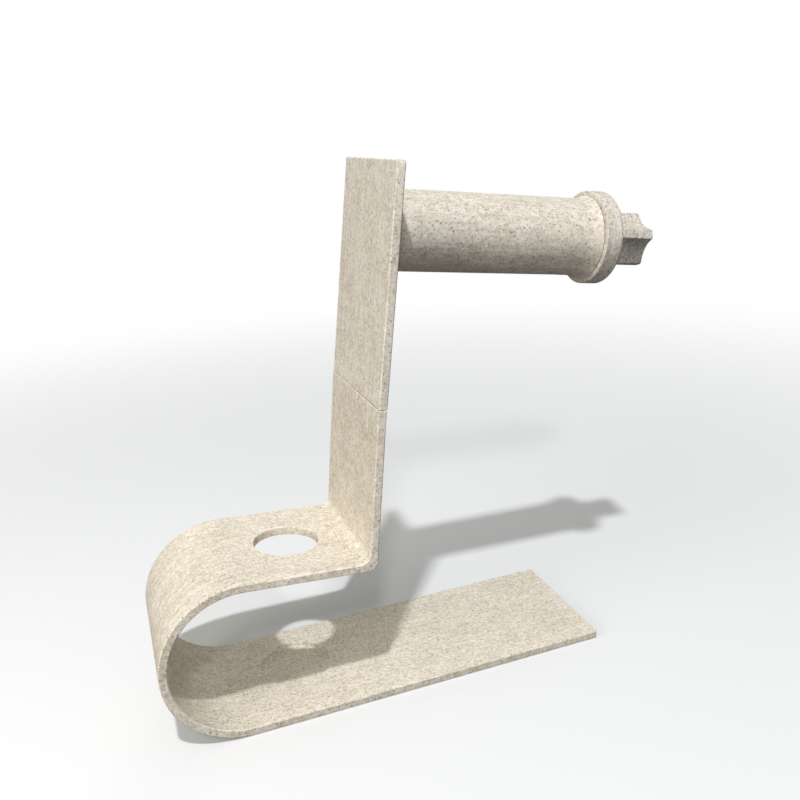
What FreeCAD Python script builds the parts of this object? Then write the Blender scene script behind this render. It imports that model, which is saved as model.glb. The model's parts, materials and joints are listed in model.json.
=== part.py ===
# Bathroom counter organizer: a bent band with a handle hole over a foot pocket, and a post that
# carries a slotted sleeve with a winding key turning in it. Three printed pieces, in millimetres.
#
# Frame: the band lies on the plane Z = 0, +X runs along its base to the free end, +Y to the back.
# The origin is on the underside, below the foot pocket's centre and midway across the band.

import FreeCAD, Part

import collections
import math
import os

import Sketcher

# Driving sizes: name, value in millimetres or degrees, meaning.
SIZES = [
    ("strip_width", 45.0, "width of the band, front to back"),
    ("strip_thick", 2.5, "thickness of the band"),
    ("edge_break", 0.3, "chamfer along the outer edges"),
    ("corner_round", 0.8, "rounding of the corners of the base's free end and of the post's top"),
    ("bend_radius", 24.0, "outer radius of the bend"),
    ("base_reach", 111.5, "bend centre to the free end of the base"),
    ("pocket_reach", 17.4, "bend centre to the foot pocket's centre, along the base"),
    ("pocket_radius", 10.9, "radius of the foot pocket"),
    ("pocket_depth", 1.2, "depth of the foot pocket"),
    ("pocket_offset", 2.9, "foot pocket's centre behind the middle of the band"),
    ("hole_shift", 0.8, "how much nearer to the bend the hole is than the pocket, along the band"),
    ("hole_radius", 9.6, "radius of the handle hole"),
    ("hole_break", 0.2, "chamfer at the hole's upper rim"),
    ("shelf_reach", 38.2, "bend centre to the post's outer face, along the shelf"),
    ("shelf_sag", 4.1, "slope of the sagged shelf, degrees"),
    ("post_lean", 3.4, "lean of the lower post from square to the shelf, degrees"),
    ("inner_corner", 2.8, "fillet between the shelf's top and the post"),
    ("outer_corner", 2.8, "rounding where the shelf's underside turns up into the post"),
    ("lower_post", 44.7, "shelf's top to the seam, along the post"),
    ("seam_gap", 0.12, "hairline between the two posts, because the tongue stands on its socket's floor"),
    ("seam_break", 0.15, "chamfer along the edges that meet at the seam"),
    ("tongue_length", 24.0, "length of the arm's tongue below the seam"),
    ("tongue_width", 24.0, "width of the tongue"),
    ("tongue_thick", 0.8, "thickness of the tongue"),
    ("tongue_play", 0.25, "clearance round the tongue in its socket"),
    ("tongue_left_gap", 0.02, "what is left of that clearance where the tongue leans on its socket"),
    ("sleeve_height", 46.0, "seam to the sleeve's axis, along the post"),
    ("sleeve_rise", 0.8, "how far the sleeve's axis rises from square to the post, degrees"),
    ("sleeve_radius", 11.5, "outer radius of the sleeve"),
    ("sleeve_wall", 2.0, "wall of the sleeve"),
    ("sleeve_length", 67.0, "post's outer face to the sleeve's open end"),
    ("mouth_flare", 1.0, "how far the sleeve flares out at its open end"),
    ("flare_length", 5.0, "length of the flared stretch"),
    ("post_above", 7.6, "height of the post above the sleeve"),
    ("slot_start", 1.5, "post's outer face to the slot under the sleeve"),
    ("slot_width", 5.0, "width of the slot under the sleeve"),
    ("end_play", 0.3, "gap between the key's tip and the post"),
    ("journal_play", 0.1, "radial running clearance of the key's journals"),
    ("far_journal", 3.0, "length of the journal beside the post"),
    ("near_journal", 7.2, "length of the journal inside the sleeve's open end"),
    ("spindle_radius", 4.0, "radius of the slit spindle"),
    ("spindle_slit", 1.8, "width of the slit through the spindle"),
    ("flange_gap", 0.3, "gap between the sleeve's end and the flange"),
    ("flange_lip", 2.4, "how far the flange stands out from the sleeve"),
    ("flange_thick", 5.8, "thickness of the flange"),
    ("flange_break", 0.2, "chamfer at the flange's rim beside the sleeve"),
    ("flange_round", 1.2, "rounding of the flange's rim beside the knob"),
    ("knob_radius", 8.0, "knob's axis to the tip of a lobe"),
    ("lobe_width", 3.0, "width of a lobe's tip, from corner to corner"),
    ("lobe_round", 0.5, "rounding of a lobe's corners"),
    ("valley_radius", 9.0, "radius of the hollow between two lobes"),
    ("knob_length", 14.4, "length of the knob beyond the flange"),
    ("knob_break", 0.4, "chamfer round the knob's end"),
    ("key_turn", -17.4, "how far the key is turned from upright at rest, degrees"),
    ("overrun", 2.0, "how far a cutting tool runs past the wall it cuts"),
]

# Expressions for what the sizes give: angles of the leaning members, and the places on them.
SHELF_TILT = "(sizes.shelf_sag * 1deg)"
POST_TILT = "((sizes.shelf_sag + sizes.post_lean) * 1deg)"
TONGUE_SHIFT = "(sizes.tongue_play - sizes.tongue_left_gap)"
ARM_TILT = f"({POST_TILT} + atan(2 * {TONGUE_SHIFT} / sizes.tongue_length))"
BORE_RADIUS = "(sizes.sleeve_radius - sizes.sleeve_wall)"
FLANGE_RADIUS = "(sizes.sleeve_radius + sizes.flange_lip)"
SPINDLE_START = "(sizes.end_play + sizes.far_journal)"
SPINDLE_END = "(sizes.sleeve_length - sizes.near_journal)"
KNOB_START = "(sizes.sleeve_length + sizes.flange_gap + sizes.flange_thick)"
CORNER_X = (f"(-sizes.pocket_reach + sizes.bend_radius * sin({SHELF_TILT})"
            f" + sizes.shelf_reach * cos({SHELF_TILT}))")
CORNER_Z = (f"(sizes.bend_radius + sizes.bend_radius * cos({SHELF_TILT})"
            f" - sizes.shelf_reach * sin({SHELF_TILT}))")
SEAM_X = f"({CORNER_X} + sizes.lower_post * sin({POST_TILT}))"
SEAM_Z = f"({CORNER_Z} + sizes.lower_post * cos({POST_TILT}))"

UPWARD = FreeCAD.Vector(0, 0, 1)
QUARTER = math.pi / 2
START, END, CENTRE = 1, 2, 3
ACROSS, UPRIGHT = -1, -2
SAME = 1e-4

# One round stretch of the key: its length and radius, each with the expression that holds it.
Stretch = collections.namedtuple("Stretch", "name length length_bound radius radius_bound")


def make_sheet(doc):
    """Put the driving sizes in a spreadsheet, one row each, with an alias."""
    sheet = doc.addObject("Spreadsheet::Sheet", "sizes")
    for row, (name, number, meaning) in enumerate(SIZES, start=1):
        sheet.set(f"A{row}", name)
        sheet.set(f"B{row}", str(number))
        sheet.set(f"C{row}", meaning)
        sheet.setAlias(f"B{row}", name)
    doc.recompute()
    return sheet


def bind(thing, **bindings):
    """Tie properties of a document object to expressions on the sheet."""
    for name, expression in bindings.items():
        thing.setExpression(name, expression)


def placed(x="0", y="0", z="0", axis="0; 0; 1", angle="0"):
    """Expression for a placement: a turn about an axis, then a move."""
    return (f"create(<<placement>>; create(<<vector>>; {x}; {y}; {z}); "
            f"create(<<rotation>>; create(<<vector>>; {axis}); {angle}))")


# The sleeve's axis in the arm: it starts on the post's outer face and rises a little, +X along it.
SLEEVE_AXIS = placed(z="sizes.sleeve_height", axis="0; 1; 0", angle="-(sizes.sleeve_rise * 1deg)")


def make_body(doc, label):
    body = doc.addObject("PartDesign::Body", label)
    body.Label = label
    return body


def make_sketch(body, name, plane_role):
    """Start a sketch on one of the body's own origin planes."""
    sketch = body.newObject("Sketcher::SketchObject", name)
    plane = next(item for item in body.Origin.OriginFeatures if item.Role == plane_role)
    sketch.AttachmentSupport = (plane, [""])
    sketch.MapMode = "FlatFace"
    return sketch


def measure(sketch, name, expression, kind, *where):
    """Add a dimension to a sketch, named, and bound to an expression on the sheet."""
    index = sketch.addConstraint(Sketcher.Constraint(kind, *where))
    sketch.renameConstraint(index, name)
    sketch.setExpression(f"Constraints.{name}", expression)


def relate(sketch, kind, *where):
    sketch.addConstraint(Sketcher.Constraint(kind, *where))


def direction(angle):
    """Unit vector in a sketch's plane."""
    return FreeCAD.Vector(math.cos(angle), math.sin(angle), 0)


def arc(centre, radius, start_angle, end_angle):
    """Arc drawn anticlockwise between two angles, in radians."""
    return Part.ArcOfCircle(Part.Circle(centre, UPWARD, radius), start_angle, end_angle)


def work_edges(doc, body, kind, name, wanted):
    """Start a feature on the edges of the body's last feature that a test picks."""
    doc.recompute()
    before = body.Tip
    picked = [f"Edge{number}" for number, edge in enumerate(before.Shape.Edges, start=1) if wanted(edge)]
    feature = body.newObject(kind, name)
    feature.Base = (before, picked)
    return feature


def chamfer(doc, body, name, wanted, size_name):
    bind(work_edges(doc, body, "PartDesign::Chamfer", name, wanted), Size=f"sizes.{size_name}")


def round_off(doc, body, name, wanted, size_name):
    bind(work_edges(doc, body, "PartDesign::Fillet", name, wanted), Radius=f"sizes.{size_name}")


def is_rim(edge, radius):
    return isinstance(edge.Curve, Part.Circle) and abs(edge.Curve.Radius - radius) < SAME


class BandPlan:
    """Places on the band's side outline, in its own plane, worked out from the sizes."""

    def __init__(self, size):
        self.sag = math.radians(size("shelf_sag"))
        self.lean = math.radians(size("post_lean"))
        self.tilt = self.sag + self.lean
        self.thick = size("strip_thick")
        self.outer = size("bend_radius")
        self.inner = self.outer - self.thick
        self.along_shelf = direction(-self.sag)
        self.off_shelf = direction(QUARTER - self.sag)
        self.along_post = direction(QUARTER - self.tilt)
        self.off_post = direction(-self.tilt)
        self.bend = FreeCAD.Vector(-size("pocket_reach"), self.outer, 0)
        self.free_end = FreeCAD.Vector(size("base_reach") - size("pocket_reach"), 0, 0)
        self.free_top = self.free_end + FreeCAD.Vector(0, self.thick, 0)
        self.shelf_start = self.bend + self.off_shelf * self.outer
        self.corner = self.shelf_start + self.along_shelf * size("shelf_reach")
        self.seam_right = self.corner + self.along_post * size("lower_post")
        self.seam_left = self.seam_right - self.off_post * self.thick
        hole_reach = size("pocket_reach") - size("hole_shift")
        self.hole_top = self.shelf_start + self.along_shelf * hole_reach

    def fillet_centre(self, above_shelf, inside_post):
        """Point at a height over the shelf's top and a depth inside the post's outer face."""
        back = (inside_post - above_shelf * math.sin(self.lean)) / math.cos(self.lean)
        return self.corner + self.off_shelf * above_shelf - self.along_shelf * back


def draw_band(sketch, size):
    """Side outline of the base, bend, shelf and lower post, with the dimensions that hold it."""
    plan = BandPlan(size)
    fillet, rounding = size("inner_corner"), size("outer_corner")
    fillet_middle = plan.fillet_centre(fillet, plan.thick + fillet)
    rounding_middle = plan.fillet_centre(rounding - plan.thick, rounding)
    shelf_side, post_side = -QUARTER - plan.sag, -plan.tilt
    outline = [
        Part.LineSegment(plan.free_end, FreeCAD.Vector(plan.bend.x, 0, 0)),
        arc(plan.bend, plan.outer, QUARTER - plan.sag, 3 * QUARTER),
        Part.LineSegment(plan.shelf_start, fillet_middle - plan.off_shelf * fillet),
        arc(fillet_middle, fillet, shelf_side, post_side),
        Part.LineSegment(fillet_middle + plan.off_post * fillet, plan.seam_left),
        Part.LineSegment(plan.seam_left, plan.seam_right),
        Part.LineSegment(plan.seam_right, rounding_middle + plan.off_post * rounding),
        arc(rounding_middle, rounding, shelf_side, post_side),
        Part.LineSegment(rounding_middle - plan.off_shelf * rounding,
                         plan.bend + plan.off_shelf * plan.inner),
        arc(plan.bend, plan.inner, QUARTER - plan.sag, 3 * QUARTER),
        Part.LineSegment(FreeCAD.Vector(plan.bend.x, plan.thick, 0), plan.free_top),
        Part.LineSegment(plan.free_top, plan.free_end),
    ]
    sketch.addGeometry(outline, False)
    (under, bend_out, shelf_top, fillet_in, post_left, seam, post_right, fillet_out, shelf_under,
     bend_in, base_top, end_face) = range(len(outline))
    mark = sketch.addGeometry(Part.Point(plan.corner), True)

    for first, first_end, second, second_end in [
        (under, END, bend_out, END), (bend_out, START, shelf_top, START),
        (shelf_top, END, fillet_in, START), (fillet_in, END, post_left, START),
        (post_right, END, fillet_out, END), (fillet_out, START, shelf_under, START),
        (shelf_under, END, bend_in, START), (bend_in, END, base_top, START),
    ]:
        relate(sketch, "Tangent", first, first_end, second, second_end)
    for first, second in [(post_left, seam), (seam, post_right), (base_top, end_face), (end_face, under)]:
        relate(sketch, "Coincident", first, END, second, START)
    relate(sketch, "Coincident", bend_out, CENTRE, bend_in, CENTRE)
    relate(sketch, "Horizontal", under)
    relate(sketch, "Horizontal", base_top)
    relate(sketch, "Vertical", end_face)
    relate(sketch, "Parallel", shelf_top, shelf_under)
    relate(sketch, "Parallel", post_left, post_right)
    relate(sketch, "Perpendicular", post_left, seam)
    relate(sketch, "PointOnObject", under, START, ACROSS)
    relate(sketch, "PointOnObject", mark, START, shelf_top)
    relate(sketch, "PointOnObject", mark, START, post_right)
    measure(sketch, "outside", "sizes.bend_radius", "Radius", bend_out, plan.outer)
    measure(sketch, "inside", "sizes.bend_radius - sizes.strip_thick", "Radius", bend_in, plan.inner)
    measure(sketch, "fillet", "sizes.inner_corner", "Radius", fillet_in, fillet)
    measure(sketch, "rounding", "sizes.outer_corner", "Radius", fillet_out, rounding)
    measure(sketch, "thick", "sizes.strip_thick", "Distance", seam, plan.thick)
    measure(sketch, "bend_place", "sizes.pocket_reach", "DistanceX",
            bend_out, CENTRE, ACROSS, START, size("pocket_reach"))
    measure(sketch, "base_reach", "sizes.base_reach", "DistanceX",
            bend_out, CENTRE, under, START, size("base_reach"))
    measure(sketch, "shelf_slope", f"-{SHELF_TILT}", "Angle", shelf_top, -plan.sag)
    measure(sketch, "post_slope", f"90deg - {POST_TILT}", "Angle", post_left, QUARTER - plan.tilt)
    measure(sketch, "shelf_reach", "sizes.shelf_reach", "Distance",
            shelf_top, START, mark, START, size("shelf_reach"))
    measure(sketch, "post_reach", "sizes.lower_post", "Distance",
            mark, START, seam, END, size("lower_post"))


def make_lower_stand(doc, size):
    """Base, bend, shelf and lower post as one bent band, with the hole, the pocket and the socket."""
    plan = BandPlan(size)
    half_width = size("strip_width") / 2
    body = make_body(doc, "lower_stand")
    outline = make_sketch(body, "band_outline", "XZ_Plane")
    draw_band(outline, size)
    band = body.newObject("PartDesign::Pad", "band")
    band.Profile = outline
    band.SideType = "Symmetric"
    bind(band, Length="sizes.strip_width")

    def in_side_plane(edge):
        return abs(abs(edge.CenterOfMass.y) - half_width) < SAME

    def at_free_end(edge):
        return abs(edge.CenterOfMass.x - plan.free_end.x) < SAME

    def at_seam(edge):
        middle = FreeCAD.Vector(edge.CenterOfMass.x, edge.CenterOfMass.z, 0)
        return abs((middle - plan.seam_left).dot(plan.along_post)) < SAME

    def outer_edge(edge):
        rounded = is_rim(edge, size("corner_round"))
        return (in_side_plane(edge) or at_free_end(edge) or rounded) and not at_seam(edge)

    round_off(doc, body, "free_corners", lambda edge: in_side_plane(edge) and at_free_end(edge),
              "corner_round")
    chamfer(doc, body, "band_edges", outer_edge, "edge_break")
    chamfer(doc, body, "seam_edges", at_seam, "seam_break")

    hole = body.newObject("PartDesign::SubtractiveCylinder", "handle_hole")
    depth = "(sizes.bend_radius - sizes.strip_thick - sizes.overrun)"
    reach = "(sizes.pocket_reach - sizes.hole_shift)"
    bind(hole, Radius="sizes.hole_radius", Height="sizes.strip_thick + 2 * sizes.overrun",
         Placement=placed(
             x=f"{depth} * sin({SHELF_TILT}) + {reach} * cos({SHELF_TILT}) - sizes.pocket_reach",
             z=f"sizes.bend_radius + {depth} * cos({SHELF_TILT}) - {reach} * sin({SHELF_TILT})",
             axis="0; 1; 0", angle=SHELF_TILT))

    def hole_rim(edge):
        if not is_rim(edge, size("hole_radius")):
            return False
        middle = edge.Curve.Center
        return FreeCAD.Vector(middle.x, middle.z, 0).distanceToPoint(plan.hole_top) < SAME

    chamfer(doc, body, "hole_rim", hole_rim, "hole_break")

    pocket = body.newObject("PartDesign::SubtractiveCylinder", "foot_pocket")
    bind(pocket, Radius="sizes.pocket_radius", Height="sizes.pocket_depth + sizes.overrun",
         Placement=placed(y="sizes.pocket_offset", z="sizes.strip_thick - sizes.pocket_depth"))

    socket = body.newObject("PartDesign::SubtractiveBox", "tongue_socket")
    thick = "(sizes.tongue_thick + 2 * sizes.tongue_play)"
    inside = f"((sizes.strip_thick + {thick}) / 2)"
    deep = "(sizes.tongue_length - sizes.seam_gap + sizes.tongue_left_gap)"
    bind(socket, Length=thick, Width="sizes.tongue_width + 2 * sizes.tongue_play",
         Height=f"{deep} + sizes.overrun",
         Placement=placed(
             x=f"{SEAM_X} - {inside} * cos({POST_TILT}) - {deep} * sin({POST_TILT})",
             y="-(sizes.tongue_width / 2 + sizes.tongue_play)",
             z=f"{SEAM_Z} + {inside} * sin({POST_TILT}) - {deep} * cos({POST_TILT})",
             axis="0; 1; 0", angle=POST_TILT))
    return body


def draw_sleeve(sketch, size):
    """Half section of the sleeve, from inside the post to its flared mouth, drawn above its axis."""
    root, length, radius = size("strip_thick") / 2, size("sleeve_length"), size("sleeve_radius")
    flare, rise = size("flare_length"), size("mouth_flare")
    bow = (flare ** 2 + rise ** 2) / (2 * rise)
    flare_start = FreeCAD.Vector(length - flare, radius, 0)
    mouth = FreeCAD.Vector(length, radius + rise, 0)
    inner, outer = FreeCAD.Vector(-root, 0, 0), FreeCAD.Vector(-root, radius, 0)
    mouth_middle = FreeCAD.Vector(length, 0, 0)
    sketch.addGeometry([
        Part.LineSegment(inner, outer),
        Part.LineSegment(outer, flare_start),
        arc(flare_start + FreeCAD.Vector(0, bow, 0), bow, -QUARTER, math.atan2(rise - bow, flare)),
        Part.LineSegment(mouth, mouth_middle),
        Part.LineSegment(mouth_middle, inner),
    ], False)
    back, wall, cove, end_face, axis = range(5)

    relate(sketch, "Coincident", back, END, wall, START)
    relate(sketch, "Tangent", wall, END, cove, START)
    relate(sketch, "Coincident", cove, END, end_face, START)
    relate(sketch, "Coincident", end_face, END, axis, START)
    relate(sketch, "Coincident", axis, END, back, START)
    relate(sketch, "Vertical", back)
    relate(sketch, "Horizontal", wall)
    relate(sketch, "Vertical", end_face)
    relate(sketch, "PointOnObject", back, START, ACROSS)
    relate(sketch, "PointOnObject", end_face, END, ACROSS)
    measure(sketch, "root", "sizes.strip_thick / 2", "DistanceX", back, START, ACROSS, START, root)
    measure(sketch, "length", "sizes.sleeve_length", "DistanceX", ACROSS, START, end_face, END, length)
    measure(sketch, "radius", "sizes.sleeve_radius", "DistanceY", ACROSS, START, wall, START, radius)
    measure(sketch, "flare", "sizes.flare_length", "DistanceX", cove, START, cove, END, flare)
    measure(sketch, "rise", "sizes.mouth_flare", "DistanceY", cove, START, cove, END, rise)


def make_squeezer_arm(doc, size):
    """Upper post with the sleeve and its slot, and the tongue that plugs into the lower post.

    Drawn upright: its own origin is at the seam, on the post's outer face, with +Z up the post.
    The tongue stands on its socket's floor, which leaves a hairline at the seam. Its play lets the
    arm stand out and back a little from the lower post, and lean outwards.
    """
    body = make_body(doc, "squeezer_arm")
    bind(body, Placement=placed(
        x=f"{SEAM_X} + {TONGUE_SHIFT} * cos({POST_TILT}) + sizes.seam_gap * sin({POST_TILT})",
        y=TONGUE_SHIFT,
        z=f"{SEAM_Z} - {TONGUE_SHIFT} * sin({POST_TILT}) + sizes.seam_gap * cos({POST_TILT})",
        axis="0; 1; 0", angle=ARM_TILT))

    plate = body.newObject("PartDesign::AdditiveBox", "upper_post")
    bind(plate, Length="sizes.strip_thick", Width="sizes.strip_width",
         Height="sizes.sleeve_height + sizes.sleeve_radius + sizes.post_above",
         Placement=placed(x="-sizes.strip_thick", y="-sizes.strip_width / 2"))
    top = size("sleeve_height") + size("sleeve_radius") + size("post_above")

    def at_top_corner(edge):
        middle = edge.CenterOfMass
        return abs(middle.z - top) < SAME and abs(abs(middle.y) - size("strip_width") / 2) < SAME

    def at_seam(edge):
        return abs(edge.CenterOfMass.z) < SAME

    round_off(doc, body, "top_corners", at_top_corner, "corner_round")
    chamfer(doc, body, "post_edges", lambda edge: not at_seam(edge), "edge_break")
    chamfer(doc, body, "seam_edges", at_seam, "seam_break")

    tongue = body.newObject("PartDesign::AdditiveBox", "tongue")
    root = "(sizes.strip_thick / 2)"
    bind(tongue, Length="sizes.tongue_thick", Width="sizes.tongue_width",
         Height=f"sizes.tongue_length + {root}",
         Placement=placed(x=f"-{root} - sizes.tongue_thick / 2", y="-sizes.tongue_width / 2",
                          z="-sizes.tongue_length"))

    section = make_sketch(body, "sleeve_section", "XZ_Plane")
    bind(section, AttachmentOffset=placed(
        y="sizes.sleeve_height", axis="0; 0; 1", angle="(sizes.sleeve_rise * 1deg)"))
    draw_sleeve(section, size)
    sleeve = body.newObject("PartDesign::Revolution", "sleeve")
    sleeve.Profile = section
    sleeve.ReferenceAxis = (section, ["H_Axis"])

    bore = body.newObject("PartDesign::SubtractiveCylinder", "sleeve_bore")
    bind(bore, Radius=BORE_RADIUS, Height="sizes.sleeve_length + sizes.overrun",
         Placement=f"{SLEEVE_AXIS} * {placed(axis='0; 1; 0', angle='90')}")

    slot = body.newObject("PartDesign::SubtractiveBox", "loading_slot")
    corner = placed(x="sizes.slot_start", y="-sizes.slot_width / 2",
                    z="-(sizes.sleeve_radius + sizes.overrun)")
    bind(slot, Length=f"{SPINDLE_END} - sizes.slot_start", Width="sizes.slot_width",
         Height="sizes.sleeve_radius + sizes.overrun", Placement=f"{SLEEVE_AXIS} * {corner}")
    return body


def draw_key(sketch, size):
    """Half section of the key's round stretches, from its tip to the flange, drawn above its axis."""
    journal = size("sleeve_radius") - size("sleeve_wall") - size("journal_play")
    journal_bound = f"{BORE_RADIUS} - sizes.journal_play"
    spindle_length = (size("sleeve_length") - size("near_journal") - size("end_play")
                      - size("far_journal"))
    stretches = [
        Stretch("far", size("far_journal"), "sizes.far_journal", journal, journal_bound),
        Stretch("spindle", spindle_length, f"{SPINDLE_END} - {SPINDLE_START}",
                size("spindle_radius"), "sizes.spindle_radius"),
        Stretch("near", size("near_journal") + size("flange_gap"),
                "sizes.near_journal + sizes.flange_gap", journal, journal_bound),
        Stretch("flange", size("flange_thick"), "sizes.flange_thick",
                size("sleeve_radius") + size("flange_lip"), FLANGE_RADIUS),
    ]
    corners = [FreeCAD.Vector(size("end_play"), 0, 0)]
    for stretch in stretches:
        here = corners[-1].x
        corners.append(FreeCAD.Vector(here, stretch.radius, 0))
        corners.append(FreeCAD.Vector(here + stretch.length, stretch.radius, 0))
    corners.append(FreeCAD.Vector(corners[-1].x, 0, 0))
    following = corners[1:] + corners[:1]
    sketch.addGeometry([Part.LineSegment(*pair) for pair in zip(corners, following)], False)

    last = len(corners) - 1
    for number in range(last):
        relate(sketch, "Coincident", number, END, number + 1, START)
        relate(sketch, "Horizontal" if number % 2 else "Vertical", number)
    relate(sketch, "Coincident", last, END, 0, START)
    relate(sketch, "PointOnObject", last, START, ACROSS)
    relate(sketch, "PointOnObject", last, END, ACROSS)
    measure(sketch, "tip", "sizes.end_play", "DistanceX", ACROSS, START, 0, START, size("end_play"))
    for number, stretch in enumerate(stretches):
        flat = 2 * number + 1
        measure(sketch, f"{stretch.name}_length", stretch.length_bound, "DistanceX",
                flat, START, flat, END, stretch.length)
        measure(sketch, f"{stretch.name}_radius", stretch.radius_bound, "DistanceY",
                ACROSS, START, flat, START, stretch.radius)


def draw_knob(sketch, size):
    """Four lobes with tips on one circle, and a hollow between each two from corner to corner."""
    radius, valley, half = size("knob_radius"), size("valley_radius"), size("lobe_width") / 2
    swing = math.asin(half / radius)
    middle = radius * math.cos(QUARTER / 2 - swing)
    away = middle + math.sqrt(middle ** 2 - radius ** 2 + valley ** 2)
    reach = math.asin(radius * math.sin(QUARTER / 2 - swing) / valley)
    sides = 4
    outline = []
    for number in range(sides):
        turn = number * QUARTER
        outline.append(arc(FreeCAD.Vector(), radius, turn - swing, turn + swing))
        diagonal = turn + QUARTER / 2
        inward = diagonal + 2 * QUARTER
        outline.append(arc(direction(diagonal) * away, valley, inward - reach, inward + reach))
    sketch.addGeometry(outline, False)

    for number in range(sides):
        tip, hollow = 2 * number, 2 * number + 1
        next_tip = (tip + 2) % len(outline)
        relate(sketch, "Coincident", tip, END, hollow, END)
        relate(sketch, "Coincident", hollow, START, next_tip, START)
        relate(sketch, "Coincident", tip, CENTRE, ACROSS, START)
        if number:
            relate(sketch, "Equal", 0, tip)
            relate(sketch, "Equal", 1, hollow)
        kind = "DistanceX" if number % 2 else "DistanceY"
        for end in (START, END):
            ahead = (end == END) == (number in (0, sides - 1))
            ends = (ACROSS, START, tip, end) if ahead else (tip, end, ACROSS, START)
            measure(sketch, f"corner_{number}_{end}", "sizes.lobe_width / 2", kind, *ends, half)
    measure(sketch, "tips", "sizes.knob_radius", "Radius", 0, radius)
    measure(sketch, "valley", "sizes.valley_radius", "Radius", 1, valley)


def make_winding_key(doc, size):
    """Slit spindle between two journals, with the flange and the lobed knob, as one print.

    Drawn along its own X axis from the post's outer face, and set in the sleeve by the arm's place.
    """
    body = make_body(doc, "winding_key")
    turn = placed(axis="1; 0; 0", angle="sizes.key_turn")
    bind(body, Placement=f"squeezer_arm.Placement * {SLEEVE_AXIS} * {turn}")

    section = make_sketch(body, "key_section", "XZ_Plane")
    draw_key(section, size)
    rounds = body.newObject("PartDesign::Revolution", "turned_key")
    rounds.Profile = section
    rounds.ReferenceAxis = (section, ["H_Axis"])

    flange_radius = size("sleeve_radius") + size("flange_lip")
    flange_start = size("sleeve_length") + size("flange_gap")
    flange_end = flange_start + size("flange_thick")

    def rim_at(place):
        return lambda edge: is_rim(edge, flange_radius) and abs(edge.Curve.Center.x - place) < SAME

    chamfer(doc, body, "sleeve_side_rim", rim_at(flange_start), "flange_break")
    round_off(doc, body, "knob_side_rim", rim_at(flange_end), "flange_round")

    face = make_sketch(body, "knob_outline", "YZ_Plane")
    bind(face, **{"AttachmentOffset.Base.z": KNOB_START})
    draw_knob(face, size)
    knob = body.newObject("PartDesign::Pad", "knob")
    knob.Profile = face
    bind(knob, Length="sizes.knob_length")

    end = flange_end + size("knob_length")
    halfway = (flange_end + end) / 2

    def lobe_corner(edge):
        return isinstance(edge.Curve, Part.Line) and abs(edge.CenterOfMass.x - halfway) < SAME

    round_off(doc, body, "lobe_corners", lobe_corner, "lobe_round")
    chamfer(doc, body, "knob_end", lambda edge: abs(edge.CenterOfMass.x - end) < SAME, "knob_break")

    slit = body.newObject("PartDesign::SubtractiveBox", "spindle_slit")
    half_height = "(sizes.spindle_radius + sizes.overrun)"
    bind(slit, Length=f"{SPINDLE_END} - {SPINDLE_START}", Width="sizes.spindle_slit",
         Height=f"2 * {half_height}",
         Placement=placed(x=SPINDLE_START, y="-sizes.spindle_slit / 2", z=f"-{half_height}"))
    return body


def check(doc, bodies):
    """Stop on any failed object, loose sketch, or body that isn't one valid solid."""
    for thing in doc.Objects:
        if "Invalid" in thing.State or "Error" in thing.State:
            raise RuntimeError(f"{thing.Name} failed: {thing.State}")
        if thing.TypeId == "Sketcher::SketchObject" and not thing.FullyConstrained:
            raise RuntimeError(f"{thing.Name} isn't fully constrained")
    for body in bodies:
        shape = body.Shape
        if shape.isNull() or not shape.isValid() or len(shape.Solids) != 1:
            raise RuntimeError(f"{body.Label} isn't one valid solid")


def main():
    doc = FreeCAD.newDocument("organizer")
    sheet = make_sheet(doc)
    bodies = [
        make_lower_stand(doc, sheet.get),
        make_squeezer_arm(doc, sheet.get),
        make_winding_key(doc, sheet.get),
    ]
    doc.recompute()
    check(doc, bodies)
    os.makedirs("parts", exist_ok=True)
    for body in bodies:
        body.Shape.exportStep(f"parts/{body.Label}.step")
        print(f"{body.Label}: {body.Shape.Volume:.1f} cubic mm, {body.Shape.BoundBox}")


main()
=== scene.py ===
import json
import math

import bpy
from mathutils import Euler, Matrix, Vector

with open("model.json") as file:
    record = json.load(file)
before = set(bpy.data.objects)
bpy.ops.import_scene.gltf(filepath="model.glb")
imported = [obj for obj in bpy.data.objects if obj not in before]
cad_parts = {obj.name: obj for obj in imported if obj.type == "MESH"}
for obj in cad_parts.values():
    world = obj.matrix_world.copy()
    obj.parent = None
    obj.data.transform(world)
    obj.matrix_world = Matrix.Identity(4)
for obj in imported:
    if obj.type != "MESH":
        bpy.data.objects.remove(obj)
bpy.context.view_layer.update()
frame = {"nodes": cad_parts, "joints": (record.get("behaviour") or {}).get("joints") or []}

MM = 0.001

# The photograph's camera, in the part's frame.
SENSOR_MM = 36
CAMERA_PLACE = Vector((-0.038145, -0.228965, 0.16318))
CAMERA_TURN_DEG = (71.8911, 3.6527, -19.9799)
CAMERA_LENS_MM = 38.34
CAMERA_CLIP = 10 * MM

# Lamps look at the middle of the object. Each has a name, the direction that it shines from,
# a distance, a size, watts and a colour.
AIM = Vector((0.03, 0, 0.06))
WHITE = (1.0, 1.0, 1.0)
COOL_LIGHT = (0.95, 0.96, 1.0)
WARM_LIGHT = (1.0, 0.955, 0.89)
LAMPS = [
    ("key", (-0.155, -0.409, 0.909), 1.5, 0.06, 13.6, COOL_LIGHT),
    ("front", (-0.22, -0.75, 0.65), 1.5, 0.12, 4.4, COOL_LIGHT),
    ("left", (-1, -0.35, 0.30), 0.65, 0.35, 1.75, WARM_LIGHT),
    ("back", (0.30, 1.0, 0.30), 1.5, 0.5, 2.0, WHITE),
]

# The floor and the world look pale to the camera, and light the object only dimly.
FLOOR_REACH = 3.0
FLOOR_FADE_START = 0.15
FLOOR_FADE_END = 0.6
PALE_FLOOR = (0.85, 0.85, 0.85)
DIM_FLOOR = (0.100, 0.106, 0.124)
DIM_WORLD = (0.97, 1.0, 0.95)
DIM_WORLD_STRENGTH = 0.32

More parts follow.
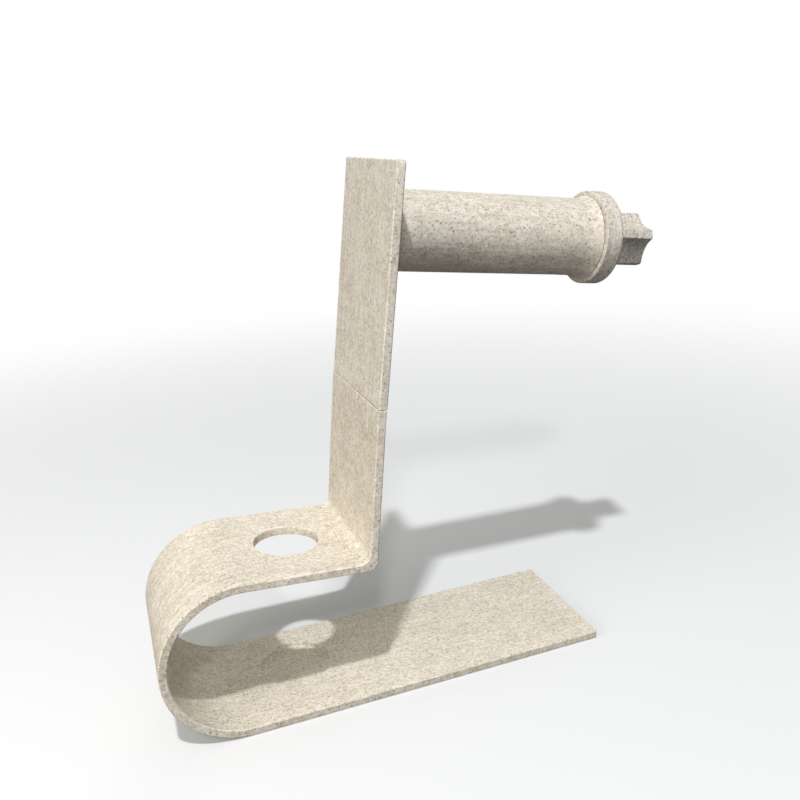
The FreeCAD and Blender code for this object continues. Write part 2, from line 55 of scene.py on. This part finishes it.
# Plastic and grain colours, as linear light.
IVORY = (0.770, 0.690, 0.560)
COOL_IVORY = (0.800, 0.722, 0.606)
KEY_IVORY = (0.732, 0.662, 0.567)
BROWN_GRAIN = (0.190, 0.130, 0.090)
DARK_GRAIN = (0.120, 0.100, 0.085)
RUST_GRAIN = (0.450, 0.210, 0.120)
PALE_GRAIN = (0.940, 0.910, 0.850)

# The stand and the arm were printed lying on one side, the key standing on its knob.
LAYER_HEIGHT = 0.2 * MM
SIDEWAYS = Vector((0, 1, 0))
KEY_AXIS = Vector(frame["joints"][0]["axis"]).normalized()

# Each node's material, the axis across its layers, its colour and the depth of its mottle.
FINISHES = {
    "lower_stand": ("stand_print", SIDEWAYS, IVORY, 0.82),
    "squeezer_arm": ("arm_print", SIDEWAYS, COOL_IVORY, 0.85),
    "winding_key": ("key_print", KEY_AXIS, KEY_IVORY, 1.10),
}

# How the shade of the plastic varies, as a share of each colour.
SHADE_SHARES = (0.72, 0.70, 0.68)

# Clouds in the shade: size, detail and depth. Patches and mottle lie flat along the layers,
# and streaks differ from one layer to the next. Each finish gives the mottle's depth.
BROAD_CLOUDS = (11 * MM, 1, 0.24)
PATCHES = (3.2 * MM, 1, 0.34)
MOTTLE = (1.25 * MM, 2)
STREAKS = (25 * MM, 1, 0.48)
CLOUD_FLATNESS = 1.35
LAYER_SHIFT = 37 * MM

# Faint stains: the tint they add, their size, and where their pattern starts.
STAINS = [
    ((0.012, -0.009, 0.002), 1.6 * MM, 40 * MM),
    ((0.012, 0.006, -0.018), 4.5 * MM, 90 * MM),
]

# Grains: spacing, largest radius, usual colour, the odd one's colour, strength.
GRAINS = [
    (0.78 * MM, 0.33 * MM, BROWN_GRAIN, RUST_GRAIN, 0.60),
    (1.10 * MM, 0.40 * MM, DARK_GRAIN, BROWN_GRAIN, 0.72),
    (1.00 * MM, 0.46 * MM, PALE_GRAIN, PALE_GRAIN, 0.85),
]
GRAIN_FLATNESS = 1.5
GRAIN_SHIFT_CELLS = 7.3
SMALLEST_GRAIN = 0.5
GRAIN_CORE = 0.5
FAINTEST_GRAIN = 0.4
ODD_GRAINS_FROM = 0.80
ODD_GRAINS_FULL = 0.85

# The surface's relief: the height that the bump works in, and the layers' share of it.
RELIEF = 0.09 * MM
BEAD_SHARE = 0.2
BEAD_SHOULDER = 0.3

# Fine unevenness, in the relief and in the roughness.
ROUGH_SIZE = 0.85 * MM
ROUGH_DETAIL = 2
ROUGHNESS = 0.62
ROUGHNESS_SWING = 0.3


class Graph:
    """Short calls that build one material's nodes."""

    def __init__(self, name):
        self.material = bpy.data.materials.new(name)
        self.material.use_nodes = True
        self.nodes = self.material.node_tree.nodes
        self.links = self.material.node_tree.links
        self.nodes.clear()

    def node(self, kind, inputs=None, **settings):
        """Add a node; an input's value is a number, a colour or another node's output."""
        node = self.nodes.new(kind)
        for name, value in settings.items():
            setattr(node, name, value)
        for name, value in (inputs or {}).items():
            if isinstance(value, bpy.types.NodeSocket):
                self.links.new(value, node.inputs[name])
            else:
                node.inputs[name].default_value = value
        return node

    def math(self, operation, first, second=0.0):
        return self.node("ShaderNodeMath", {0: first, 1: second}, operation=operation).outputs[0]

    def vector(self, operation, first, second=(0.0, 0.0, 0.0)):
        return self.node("ShaderNodeVectorMath", {0: first, 1: second}, operation=operation)

    def add(self, first, second):
        return self.vector("ADD", first, second).outputs[0]

    def scale(self, vector, factor):
        node = self.node("ShaderNodeVectorMath", {0: vector, "Scale": factor}, operation="SCALE")
        return node.outputs[0]

    def along(self, place, axis):
        """How far a place lies along an axis."""
        return self.vector("DOT_PRODUCT", place, axis).outputs["Value"]

    def ramp(self, value, low, high, start=0.0, end=1.0):
        """Smooth step of a value from one level to another."""
        inputs = {"Value": value, "From Min": low, "From Max": high, "To Min": start, "To Max": end}
        return self.node("ShaderNodeMapRange", inputs, interpolation_type="SMOOTHSTEP").outputs[0]

    def blend(self, amount, first, second):
        node = self.node("ShaderNodeMix", {0: amount}, data_type="RGBA")
        for socket, value in ((node.inputs[6], first), (node.inputs[7], second)):
            if isinstance(value, bpy.types.NodeSocket):
                self.links.new(value, socket)
            else:
                socket.default_value = (*value, 1.0)
        return node.outputs[2]

    def squeeze(self, place, axis, times):
        """Coordinates that run faster along one axis, so that patterns lie flat across it."""
        extra = self.scale(axis, self.math("MULTIPLY", self.along(place, axis), times - 1))
        return self.add(place, extra)

    def noise(self, place, size, detail=1.0):
        """Cloudy pattern around zero, with spots of a size."""
        inputs = {"Vector": place, "Scale": 1 / size, "Detail": detail}
        value = self.node("ShaderNodeTexNoise", inputs).outputs[0]
        return self.math("SUBTRACT", value, 0.5)

    def grains(self, place, cell, reach):
        """Scattered grains: a mask, and two random numbers for each grain."""
        moved = self.add(place, (GRAIN_SHIFT_CELLS * cell,) * 3)
        cells = self.node("ShaderNodeTexVoronoi", {"Vector": moved, "Scale": 1 / cell})
        random = self.node("ShaderNodeSeparateColor", {0: cells.outputs["Color"]})
        largest = reach / cell
        size = self.ramp(random.outputs[0], 0, 1, SMALLEST_GRAIN * largest, largest)
        mask = self.ramp(cells.outputs["Distance"], size, self.math("MULTIPLY", size, GRAIN_CORE))
        return mask, random.outputs[1], random.outputs[2]


def shaded(graph, place, level, layers, base, mottle):
    """The plastic's colour, lighter and darker in clouds, patches, mottle and layer streaks."""
    flat = graph.squeeze(place, layers, CLOUD_FLATNESS)
    steps = graph.math("MULTIPLY", graph.math("FLOOR", level), LAYER_SHIFT)
    layered = graph.add(place, graph.scale(layers, steps))
    shade = 0.0
    for coordinates, size, detail, depth in [
        (place, *BROAD_CLOUDS),
        (flat, *PATCHES),
        (flat, *MOTTLE, mottle),
        (layered, *STREAKS),
    ]:
        cloud = graph.noise(coordinates, size, detail)
        shade = graph.math("ADD", shade, graph.math("MULTIPLY", cloud, depth))
    return graph.add(graph.scale(SHADE_SHARES, shade), base)


def stained(graph, place, colour):
    """A colour with faint stains in it."""
    for tint, size, shift in STAINS:
        cloud = graph.noise(graph.add(place, (shift,) * 3), size)
        colour = graph.add(colour, graph.scale(tint, cloud))
    return colour


def speckled(graph, place, layers, colour):
    """A colour with brown, dark and pale grains in it, a little flattened by the layers."""
    speck_place = graph.squeeze(place, layers, GRAIN_FLATNESS)
    for cell, reach, usual, odd, strength in GRAINS:
        mask, kind, weight = graph.grains(speck_place, cell, reach)
        tint = graph.blend(graph.ramp(kind, ODD_GRAINS_FROM, ODD_GRAINS_FULL), usual, odd)
        amount = graph.ramp(weight, 0, 1, strength * FAINTEST_GRAIN, strength)
        colour = graph.blend(graph.math("MULTIPLY", mask, amount), colour, tint)
    return colour


def surface_relief(graph, level, rough):
    """Bump of the layers' rounded beads and of fine unevenness."""
    bead = graph.math("PINGPONG", graph.math("FRACT", level), 0.5)
    beads = graph.math("MULTIPLY", graph.ramp(bead, 0, BEAD_SHOULDER), BEAD_SHARE)
    height = graph.math("ADD", beads, rough)
    bump = graph.node("ShaderNodeBump", {"Height": height, "Distance": RELIEF, "Strength": 1.0})
    return bump.outputs[0]


def printed_plastic(name, layers, base, mottle):
    """Matte stone-speckled plastic laid down in thin layers across an axis."""
    graph = Graph(name)
    place = graph.node("ShaderNodeTexCoord").outputs["Object"]
    level = graph.math("DIVIDE", graph.along(place, layers), LAYER_HEIGHT)
    colour = shaded(graph, place, level, layers, base, mottle)
    colour = stained(graph, place, colour)
    colour = speckled(graph, place, layers, colour)
    rough = graph.noise(place, ROUGH_SIZE, ROUGH_DETAIL)
    dull = graph.math("ADD", graph.math("MULTIPLY", rough, ROUGHNESS_SWING), ROUGHNESS)
    shader = graph.node("ShaderNodeBsdfPrincipled", {
        "Base Color": colour,
        "Roughness": dull,
        "Normal": surface_relief(graph, level, rough),
    })
    graph.node("ShaderNodeOutputMaterial", {"Surface": shader.outputs[0]})
    return graph.material


def make_lamp(name, toward, distance, size, watts, colour):
    """Square area lamp that looks at the object from a direction."""
    data = bpy.data.lights.new(name, "AREA")
    data.size = size
    data.energy = watts
    data.color = colour
    lamp = bpy.data.objects.new(name, data)
    bpy.context.scene.collection.objects.link(lamp)
    direction = Vector(toward).normalized()
    lamp.location = AIM + direction * distance
    lamp.rotation_euler = direction.to_track_quat("Z", "Y").to_euler()


def make_camera():
    data = bpy.data.cameras.new("camera")
    data.sensor_width = SENSOR_MM
    data.lens = CAMERA_LENS_MM
    data.clip_start = CAMERA_CLIP
    camera = bpy.data.objects.new("camera", data)
    camera.location = CAMERA_PLACE
    camera.rotation_euler = Euler([math.radians(turn) for turn in CAMERA_TURN_DEG])
    bpy.context.scene.collection.objects.link(camera)
    bpy.context.scene.camera = camera


def floor_material():
    """Matte floor that fades into the white world with its distance from the object."""
    graph = Graph("floor")
    seen = graph.node("ShaderNodeLightPath").outputs["Is Camera Ray"]
    colour = graph.blend(seen, DIM_FLOOR, PALE_FLOOR)
    matte = graph.node("ShaderNodeBsdfDiffuse", {"Color": colour})
    white = graph.node("ShaderNodeEmission", {"Color": (*WHITE, 1.0), "Strength": seen})
    place = graph.node("ShaderNodeTexCoord").outputs["Object"]
    distance = graph.vector("LENGTH", place).outputs["Value"]
    far = graph.ramp(distance, FLOOR_FADE_START, FLOOR_FADE_END)
    mix = graph.node("ShaderNodeMixShader", {0: far, 1: matte.outputs[0], 2: white.outputs[0]})
    graph.node("ShaderNodeOutputMaterial", {"Surface": mix.outputs[0]})
    return graph.material


def make_floor():
    mesh = bpy.data.meshes.new("floor")
    corners = [(x * FLOOR_REACH, y * FLOOR_REACH, 0) for x, y in ((-1, -1), (1, -1), (1, 1), (-1, 1))]
    mesh.from_pydata(corners, [], [(0, 1, 2, 3)])
    mesh.materials.append(floor_material())
    floor = bpy.data.objects.new("floor", mesh)
    bpy.context.scene.collection.objects.link(floor)


def make_world():
    """White where the camera looks, and a dim light from all sides."""
    world = bpy.data.worlds.new("world")
    world.use_nodes = True
    bpy.context.scene.world = world
    nodes, links = world.node_tree.nodes, world.node_tree.links
    nodes.clear()
    path = nodes.new("ShaderNodeLightPath")
    dim = nodes.new("ShaderNodeBackground")
    dim.inputs["Color"].default_value = (*DIM_WORLD, 1.0)
    dim.inputs["Strength"].default_value = DIM_WORLD_STRENGTH
    white = nodes.new("ShaderNodeBackground")
    white.inputs["Color"].default_value = (*WHITE, 1.0)
    mix = nodes.new("ShaderNodeMixShader")
    links.new(path.outputs["Is Camera Ray"], mix.inputs[0])
    links.new(dim.outputs[0], mix.inputs[1])
    links.new(white.outputs[0], mix.inputs[2])
    output = nodes.new("ShaderNodeOutputWorld")
    links.new(mix.outputs[0], output.inputs["Surface"])


def dress(node_name, material):
    data = frame["nodes"][node_name].data
    data.materials.clear()
    data.materials.append(material)


def main():
    bpy.context.scene.view_settings.view_transform = "Standard"
    make_camera()
    make_floor()
    make_world()
    for lamp in LAMPS:
        make_lamp(*lamp)
    for node_name, finish in FINISHES.items():
        dress(node_name, printed_plastic(*finish))


main()
